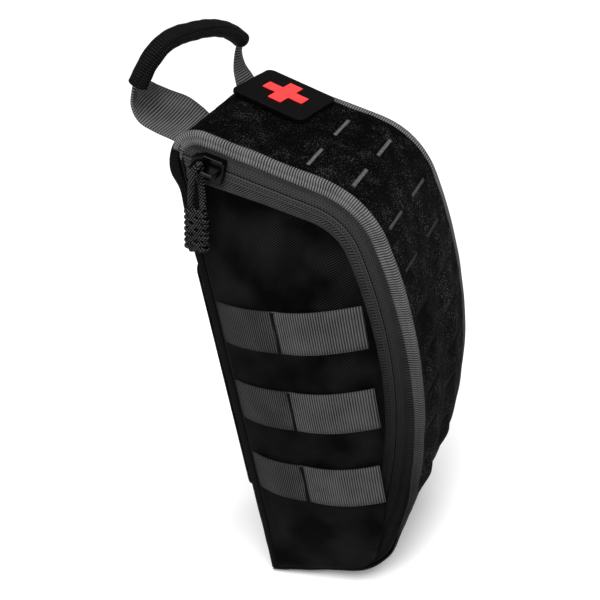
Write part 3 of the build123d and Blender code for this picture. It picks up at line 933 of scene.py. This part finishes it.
def webbing_row(name, centre, end, surface, sign, body, nodes):
    """One sewn row: it bows between its ends and its bar tack."""
    steps = 72
    lines = 9
    tack = ROW_START + (end - ROW_START) * TACK_AT
    rows = []
    uvs = []
    for line in range(lines):
        v = line / (lines - 1)
        row = []
        for index in range(steps + 1):
            depth = ROW_START + (end - ROW_START) * index / steps
            first, last = (ROW_START, tack) if depth < tack else (tack, end)
            t = (depth - first) / (last - first)
            lift = ROW_LIFT + ROW_BOW * math.sin(math.pi * t) ** 0.7
            edge_curl = ROW_CURL * abs(2 * v - 1) ** 3
            height = centre + ROW_WIDTH * (v - 0.5) + ROW_WANDER * math.sin(depth / 9.0 + centre)
            row.append(place(sign * (HALF + surface(depth) + lift - edge_curl), depth, height))
        rows.append(row)
        uvs.append([((end - ROW_START) * index / steps, ROW_WIDTH * v) for index in range(steps + 1)])
    piece = grid_piece(name, rows, WEBBING, body, uvs)
    thicken(piece, ROW_THICKNESS, 0.0)
    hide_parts(nodes)
    bar_tack(f"{name}_tack", tack, centre, surface, sign, body)


def bar_tack(name, depth, centre, surface, sign, body):
    """A dense column of zigzag thread that holds the row down."""
    lines = 64
    span = ROW_WIDTH - 0.6
    rows = []
    uvs = []
    profile = [(-1.25, 0.0), (-0.95, 0.6), (0.0, 0.8), (0.95, 0.6), (1.25, 0.0)]
    for reach, lift in profile:
        row = []
        for index in range(lines):
            height = centre + span * (index / (lines - 1) - 0.5)
            zig = 0.34 * math.sin(index * math.pi * 0.5) + 0.3 * math.sin(index / 9.0 + centre)
            out = surface(depth) + 0.95 + lift * (0.85 + 0.15 * math.cos(index * math.pi))
            row.append(place(sign * (HALF + out), depth + reach + zig, height))
        rows.append(row)
        uvs.append([(span * index / (lines - 1), reach) for index in range(lines)])
    piece = grid_piece(name, rows, THREAD, body, uvs)


def flat_side(depth):
    return 0.0


for number, (centre, end) in enumerate(zip(ROW_CENTRES, ROW_ENDS), start=1):
    webbing_row(f"door_row_{number}", centre, end, crown_at, -1, "door", f"door_webbing_{number}")
    webbing_row(f"far_row_{number}", centre, end, flat_side, 1, "shell", f"far_webbing_{number}")


# ------------------------ upright back bindings
BACK_TAPE_TOP = CREST_HEIGHT - 13.0
BACK_TAPE_LINES = 150
PUFF = 1.6
PUFF_HEIGHT = 271
PUFF_LENGTH = 8


def back_binding(name, sign, node):
    """Black tape folded round an upright edge of the back, a little slack."""
    section = [
        (-3.2, -0.1), (-3.0, 1.2), (0.4, 1.35), (1.4, 0.7),
        (1.6, -0.6), (1.4, -2.6), (0.9, -3.2), (0.1, -3.2),
    ]
    top = BACK_TAPE_TOP
    lines = BACK_TAPE_LINES
    rows = []
    uvs = []
    for (x, y), across in zip(section, widths(section)):
        row = []
        for step in range(lines):
            height = 1.0 + (top - 1.0) * step / (lines - 1)
            over = max(0.0, height - CREST_CENTRE)
            back = CREST_RADIUS - math.sqrt(max(CREST_RADIUS**2 - over**2, 0.0))
            puff = PUFF * math.exp(-(((height - PUFF_HEIGHT) / PUFF_LENGTH) ** 2))
            puff += wobble((x, y, height), 18.0, 0.5)
            sideways = puff if x > 0 else 0.0
            backwards = puff if y > 0 else 0.0
            row.append(place(sign * (HALF + x + sideways), back - y - backwards, height))
        rows.append(row)
        uvs.append([(top * step / (lines - 1), across) for step in range(lines)])
    piece = grid_piece(name, rows, BLACK_TAPE, "shell", uvs)
    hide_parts(node)


back_binding("back_tape_near", -1, "back_binding_near")
back_binding("back_tape_far", 1, "back_binding_far")


# ------------------------ pull cord and knot
slider_low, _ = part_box("slider_body")
knot_low, knot_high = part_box("cord_knot")
SLIDER_DEPTH = 21.0
SLIDER_HEIGHT = CREST_HEIGHT - SLIDER_DEPTH * math.tan(SLOPE) - CHAIN_INSET / math.cos(SLOPE)
BAR_X = slider_low[0] / MM - 5.4
LOOP_HALF = 3.3
LOOP_LEG = 4.0
LOOP_UPHILL = 2.6
KNOT_X = (knot_low[0] + knot_high[0]) / 2 / MM
KNOT_DEPTH = 13.4
KNOT_TOP = 254.6
KNOT_LENGTH = 26.0
KNOT_LEAN = math.radians(14.0)
STRAND_HALF = 3.4
STRAND_RISE = 5.5
CORD_DIAMETER = 3.6
KNOT_ROWS = 7
KNOT_END = 1.3
KNOT_STRAND = 1.45


def around_bar(across_bar, rise, downhill):
    """A point near the slider's bar: outwards from it, square to the slope, and along it."""
    level = math.cos(SLOPE)
    steep = math.sin(SLOPE)
    depth = SLIDER_DEPTH - LOOP_UPHILL * level + rise * steep + downhill * level
    height = SLIDER_HEIGHT + LOOP_UPHILL * steep + rise * level - downhill * steep
    return (BAR_X + across_bar, depth, height)


def on_knot(out, forward, rise):
    """A point measured from the middle of the knot's top face, square to and along the knot."""
    depth = KNOT_DEPTH + forward * math.cos(KNOT_LEAN) + rise * math.sin(KNOT_LEAN)
    height = KNOT_TOP - forward * math.sin(KNOT_LEAN) + rise * math.cos(KNOT_LEAN)
    return (KNOT_X + out, depth, height)


PULL_ROUTE = [
    on_knot(0, -STRAND_HALF, 0),
    on_knot(0, -STRAND_HALF, STRAND_RISE),
    around_bar(-LOOP_HALF, -LOOP_LEG, -0.6),
    around_bar(-LOOP_HALF, LOOP_HALF, -0.4),
    around_bar(LOOP_HALF, LOOP_HALF, 0.4),
    around_bar(LOOP_HALF, -LOOP_LEG, 0.6),
    on_knot(0, STRAND_HALF, STRAND_RISE),
    on_knot(0, STRAND_HALF, 0),
]


def new_curve(name, radius_mm, rounding, steps):
    """An empty curve with a round section."""
    curve = bpy.data.curves.new(name, "CURVE")
    curve.dimensions = "3D"
    curve.bevel_depth = radius_mm * MM
    curve.bevel_resolution = rounding
    curve.resolution_u = steps
    return curve


def add_run(curve, points):
    """One smooth run over control points, in metres."""
    spline = curve.splines.new("NURBS")
    spline.points.add(len(points) - 1)
    for control, point in zip(spline.points, points):
        control.co = (*point, 1.0)
    spline.order_u = 3
    spline.use_endpoint_u = True


def cord_piece(name, curve, node):
    """A curve that rides on the pull and takes a node's place."""
    curve.materials.append(CORD)
    piece = link(name, curve)
    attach(piece, "pull")
    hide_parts(node)
    return piece


def build_knot():
    """Cobra weave: a bump each side of every row, and strands crossing down the middle."""
    curve = new_curve("knot_weave", KNOT_STRAND, 5, 10)
    pitch = (KNOT_LENGTH - 2 * KNOT_END) / KNOT_ROWS

    def strand(points):
        add_run(curve, [place(*on_knot(*point)) for point in points])

    for row in range(KNOT_ROWS):
        rise = -KNOT_END - pitch * (row + 0.5)
        lean = 1 if row % 2 else -1
        for side in (-1, 1):
            strand([
                (-2.0, side * 2.5, rise + 0.3 * side * lean),
                (-2.6, side * 3.9, rise + 0.8),
                (-1.4, side * 5.4, rise + 0.4),
                (1.2, side * 5.4, rise - 0.4),
                (2.2, side * 3.8, rise - 0.7),
                (1.6, side * 2.2, rise),
            ])
        strand([
            (-1.7, -2.6 * lean, rise + pitch * 0.55),
            (-2.7, -0.8 * lean, rise + pitch * 0.3),
            (-2.7, 0.8 * lean, rise - pitch * 0.1),
            (-1.7, 2.6 * lean, rise - pitch * 0.35),
        ])
    strand([
        (1.6, 0, -3.0),
        (1.6, 0.2, -KNOT_LENGTH / 2),
        (1.4, 0, 3.0 - KNOT_LENGTH),
        (0.2, 0, 1.6 - KNOT_LENGTH),
        (-1.2, 0, 3.2 - KNOT_LENGTH),
        (-1.0, 0.1, 12.0 - KNOT_LENGTH),
        (-0.9, 0, -3.4),
    ])
    strand([(0, -4.4, -3.0), (-1.4, -2.3, -1.4), (-1.4, 2.3, -1.5), (0, 4.6, -3.4)])
    return cord_piece("knot_weave", curve, "cord_knot")


knot = build_knot()
loop = new_curve("pull_loop", CORD_DIAMETER / 2, 6, 16)
add_run(loop, [place(*point) for point in PULL_ROUTE])
pull = cord_piece("pull_loop", loop, "pull_cord")


# ------------------------ handle
GRIP_ROUTE = [
    (-38.5, -15.0, 315.0),
    (-35.0, -2.5, 333.0),
    (-3.0, 3.2, 331.6),
    (29.0, 6.4, 323.4),
    (42.0, 6.3, 312.5),
]
GRIP_RADIUS = 4.5
GRIP_TAPER = 0.7
GRIP_OVAL = 0.3
SEAM_DEPTH = 0.8
SEAM_ANGLE = 4.2
SEAM_WIDTH = 0.25
STRAP_THICKNESS = 1.4
STRAP_WIDTH = 38.0
# The two edges of each strap, root first, as (x, depth, height)
NEAR_EDGES = [
    ((-41.0, 3.6, 283.4), (-4.0, 3.6, 283.4)),
    ((-42.0, -2.6, 287.2), (-5.4, -1.0, 290.4)),
    ((-43.0, -9.4, 291.4), (-8.4, -6.0, 297.2)),
    ((-43.4, -16.4, 296.8), (-13.5, -12.2, 303.0)),
    ((-43.2, -18.8, 304.6), (-21.5, -15.6, 309.8)),
    ((-42.6, -16.4, 312.4), (-32.5, -13.4, 315.6)),
    ((-40.6, -11.8, 319.0), (-35.5, -10.2, 320.0)),
]
FAR_EDGES = [
    ((26.0, 7.0, 286.0), (49.0, 7.0, 285.0)),
    ((29.0, 4.8, 291.6), (49.0, 4.6, 290.4)),
    ((34.0, 2.4, 298.0), (47.8, 2.2, 297.0)),
    ((38.0, 2.8, 305.4), (46.0, 2.6, 304.6)),
    ((39.5, 5.2, 312.6), (45.6, 5.0, 311.6)),
    ((37.0, 6.0, 318.6), (42.0, 6.0, 317.6)),
]


def smooth_between(points, t):
    """A point on the Catmull-Rom curve through points, t from 0 to their last index."""
    last = len(points) - 1
    index = min(int(t), last - 1)
    f = t - index
    p1, p2 = points[index], points[index + 1]
    p0 = points[index - 1] if index else p1 * 2 - p2
    p3 = points[index + 2] if index + 2 <= last else p2 * 2 - p1
    square = 2 * p0 - 5 * p1 + 4 * p2 - p3
    cube = 3 * p1 - p0 - 3 * p2 + p3
    return 0.5 * (2 * p1 + (p2 - p0) * f + square * f**2 + cube * f**3)


def strap(name, edges, node, bow):
    """Webbing between two edge curves, bowed across its width."""
    steps = 60
    lines = 13
    first = [place(*edge[0]) for edge in edges]
    second = [place(*edge[1]) for edge in edges]
    rows = [[] for _ in range(lines)]
    uvs = [[] for _ in range(lines)]
    run = 0.0
    before = None
    for step in range(steps + 1):
        t = (len(edges) - 1) * step / steps
        a = smooth_between(first, t)
        b = smooth_between(second, t)
        middle = (a + b) / 2
        if before is not None:
            run += (middle - before).length / MM
        ahead = smooth_between(first, min(t + 0.05, len(edges) - 1)) - smooth_between(first, max(t - 0.05, 0))
        normal = (b - a).cross(ahead).normalized()
        before = middle
        for line in range(lines):
            v = line / (lines - 1)
            swell = bow * math.sin(math.pi * v) * min(1.0, step / 12)
            rows[line].append(a.lerp(b, v) + normal * swell * MM)
            uvs[line].append((run, v * STRAP_WIDTH))
    piece = grid_piece(name, rows, STRAP, "handle", uvs)
    thicken(piece, STRAP_THICKNESS, 0.0)
    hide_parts(node)


strap("strap_near", NEAR_EDGES, "handle_strap_near", -2.5)
strap("strap_far", FAR_EDGES, "handle_strap_far", 1.0)


def build_grip():
    """A soft oval sleeve over the folded webbing, pinched along its seam."""
    points = [place(*point) for point in GRIP_ROUTE]
    guide = nurbs_points(points, 90)
    around = 28
    rows = []
    uvs = []
    run = 0.0
    for index, centre in enumerate(guide):
        ahead = (guide[min(index + 1, len(guide) - 1)] - guide[max(index - 1, 0)]).normalized()
        side = ahead.cross(Vector((0, 0, 1)))
        side = side.normalized() if side.length > 1e-4 else Vector((0, 1, 0))
        up = side.cross(ahead).normalized()
        if index:
            run += (centre - guide[index - 1]).length / MM
        row = []
        uv = []
        for number in range(around + 1):
            angle = 2 * math.pi * number / around
            taper = GRIP_TAPER * index / (len(guide) - 1)
            oval = GRIP_OVAL * math.cos(2 * angle)
            seam = SEAM_DEPTH * math.exp(-(((angle - SEAM_ANGLE) / SEAM_WIDTH) ** 2))
            radius = GRIP_RADIUS - taper + oval - seam
            radius += wobble((run, 6 * math.cos(angle), 6 * math.sin(angle)), 7.0, 0.45)
            row.append(centre + (side * math.cos(angle) + up * math.sin(angle)) * radius * MM)
            uv.append((run, angle * 5.5))
        rows.append(row)
        uvs.append(uv)
    piece = grid_piece("sleeve_cloth", rows, KNIT, "handle", uvs)
    thicken(piece, 1.0, -1.0)
    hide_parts("grip_sleeve")


def nurbs_points(points, count):
    """Even points along the smooth curve that a route controls."""
    curve = new_curve("guide", 0.0, 0, 24)
    add_run(curve, points)
    holder = bpy.data.objects.new("guide", curve)
    mesh = bpy.data.meshes.new_from_object(holder)
    line = [vertex.co.copy() for vertex in mesh.vertices]
    bpy.data.objects.remove(holder)
    bpy.data.meshes.remove(mesh)
    last = len(line) - 1
    result = []
    for number in range(count):
        t = last * number / (count - 1)
        index = min(int(t), last - 1)
        result.append(line[index].lerp(line[index + 1], t - index))
    return result


build_grip()

# ------------------------ CAD nodes that stay
STAYING = {
    "back_panel": NYLON,
    "back_stiffener": NYLON,
    "back_lining": LINING,
    "hook_pad": HOOKS,
    "spine_foam": SLIT,
    "spine_lining": LINING,
    "far_side_panel": NYLON,
    "side_tab": BINDING,
    "door_lining": LINING,
    "slider_body": GLOSS,
    "slider_bridge": GLOSS,
    "grip_core": KNIT,
    "patch_base": PATCH_BLACK,
    "patch_cross": PATCH_RED,
}
for node, material in STAYING.items():
    paint(node, material)


# ------------------------ light and floor
def area_light(name, origin, target, size, power):
    data = bpy.data.lights.new(name, "AREA")
    data.shape = "DISK"
    data.size = size
    data.energy = power
    light = link(name, data)
    light.location = origin
    aim = Vector(target) - Vector(origin)
    light.rotation_euler = aim.to_track_quat("-Z", "Y").to_euler()


FLOOR_SIZE = 8.0
FLOOR_GREY = 0.9
WORLD_LIGHT = 0.3
WORLD_SEEN = 1.0
SUN_STRENGTH = 3.0
SUN_SPREAD = math.radians(40.0)
FILL_POWER = 9.0
RIM_POWER = 6.0


def build_stage():
    """A white floor and world, a wide soft sun, and two small lamps."""
    floor_z = cad_box[0][2] - MM
    mesh = bpy.data.meshes.new("floor")
    size = FLOOR_SIZE
    corners = [(-size, -size, floor_z), (size, -size, floor_z), (size, size, floor_z), (-size, size, floor_z)]
    mesh.from_pydata(corners, [], [(0, 1, 2, 3)])
    shader = Shader("floor_white", roughness=0.9)
    shader.surface.inputs["Base Color"].default_value = (FLOOR_GREY, FLOOR_GREY, FLOOR_GREY, 1.0)
    mesh.materials.append(shader.material)
    link("floor", mesh)
    world = bpy.data.worlds.new("studio")
    world.use_nodes = True
    tree = world.node_tree
    seen = tree.nodes.new("ShaderNodeLightPath")
    level = tree.nodes.new("ShaderNodeMapRange")
    level.inputs["To Min"].default_value = WORLD_LIGHT
    level.inputs["To Max"].default_value = WORLD_SEEN
    tree.links.new(seen.outputs["Is Camera Ray"], level.inputs["Value"])
    tree.links.new(level.outputs[0], tree.nodes["Background"].inputs["Strength"])
    tree.nodes["Background"].inputs["Color"].default_value = (1.0, 1.0, 1.0, 1.0)
    bpy.context.scene.world = world
    bpy.context.scene.view_settings.view_transform = "Standard"
    middle = (0, -0.06, 0)
    sun = bpy.data.lights.new("sun", "SUN")
    sun.energy = SUN_STRENGTH
    sun.angle = SUN_SPREAD
    lamp = link("sun", sun)
    lamp.rotation_euler = Vector((0.35, 0.3, -1.0)).to_track_quat("-Z", "Y").to_euler()
    area_light("fill", (-1.0, -0.1, 0.7), middle, 0.7, FILL_POWER)
    area_light("rim", (0.7, -0.9, 0.8), middle, 0.6, RIM_POWER)


build_stage()
